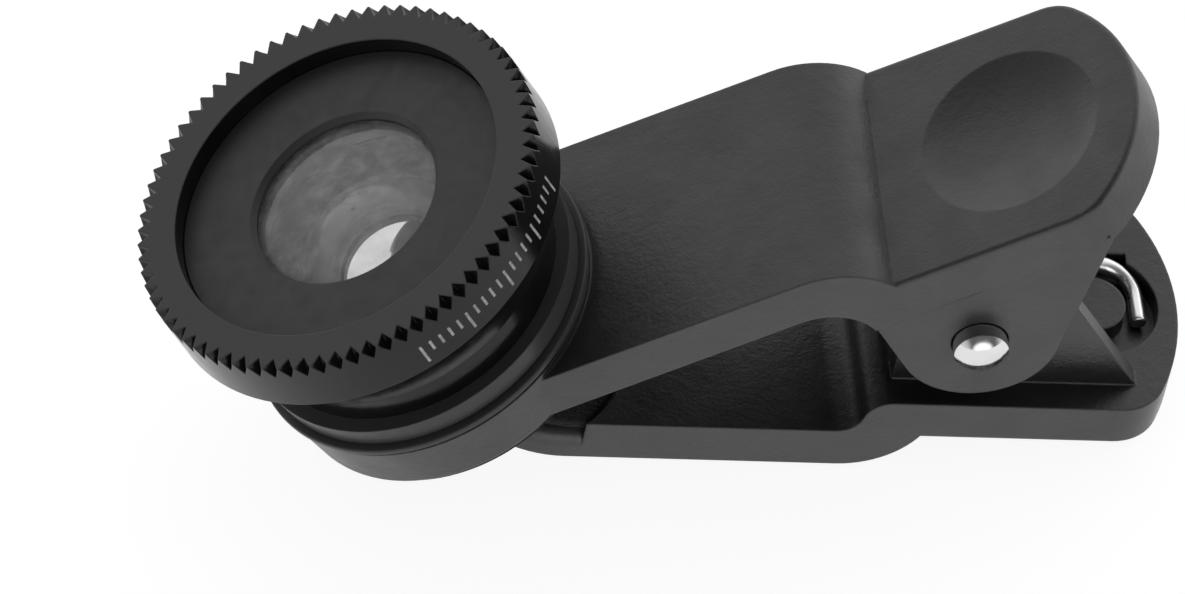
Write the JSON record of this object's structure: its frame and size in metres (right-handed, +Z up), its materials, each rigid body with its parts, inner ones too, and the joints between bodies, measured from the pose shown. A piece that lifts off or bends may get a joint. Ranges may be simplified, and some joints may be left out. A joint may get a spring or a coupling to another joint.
{
  "type": "clip on phone lens",
  "caption": "Sprung clip with a small round wide-angle lens that screws into its upper jaw, to slip over the edge of a phone.",
  "frame": {"origin": "middle of the footprint on the surface that the clip stands on, resting on its ring edge and its finger tab", "axes": "+X from the lens to the tabs, +Y across the clip, +Z up"},
  "size_m": [0.0602, 0.025, 0.0243],
  "materials": {
    "arm_plastic": "black satin moulded plastic with a fine mould texture",
    "barrel_black": "black anodised turned aluminium, glossy",
    "mask_black": "dark grey matt paint",
    "ring_black": "black matt anodised aluminium",
    "stop_grey": "grey satin plastic",
    "pin_steel": "polished steel",
    "spring_steel": "drawn steel wire",
    "pad_foam": "black foam rubber",
    "lens_glass": "clear polished glass"
  },
  "bodies": {
    "lower": {"lower_arm": "arm_plastic", "pivot_pin": "pin_steel", "torsion_spring": "spring_steel", "lower_jaw_pad": "pad_foam"},
    "upper": {"upper_arm": "arm_plastic", "upper_jaw_pad": "pad_foam"},
    "lens_core": {"front_glass": "lens_glass", "middle_glass": "lens_glass", "rear_glass": "lens_glass", "front_spacer": "ring_black", "front_stop": "stop_grey", "rear_spacer": "ring_black"},
    "lens_shell": {"lens_barrel": "barrel_black", "mount_ring": "barrel_black", "front_mask": "mask_black", "retaining_ring": "ring_black"}
  },
  "joints": [
    {"name": "clip_hinge", "type": "hinge", "parent": "lower", "child": "upper", "pos_m": [0.01766, 0, 0.01052], "axis": [0, 1, 0], "range_deg": [0, 30], "stiffness_Nm_per_rad": 0.08, "springref_deg": -0.69, "deforming": ["torsion_spring"]},
    {"name": "lens_travel", "type": "slide", "parent": "upper", "child": "lens_core", "axis": [-0.4233, 0, 0.906], "range_m": [0, 0.0015]},
    {"name": "lens_turn", "type": "hinge", "parent": "lens_core", "child": "lens_shell", "pos_m": [-0.01355, 0, 0.00777], "axis": [-0.4233, 0, 0.906], "range_deg": [0, 1080]}
  ],
  "couplings": [
    {"joint": "lens_travel", "follows": "lens_turn", "m_per_rad": 0.000079577}
  ]
}
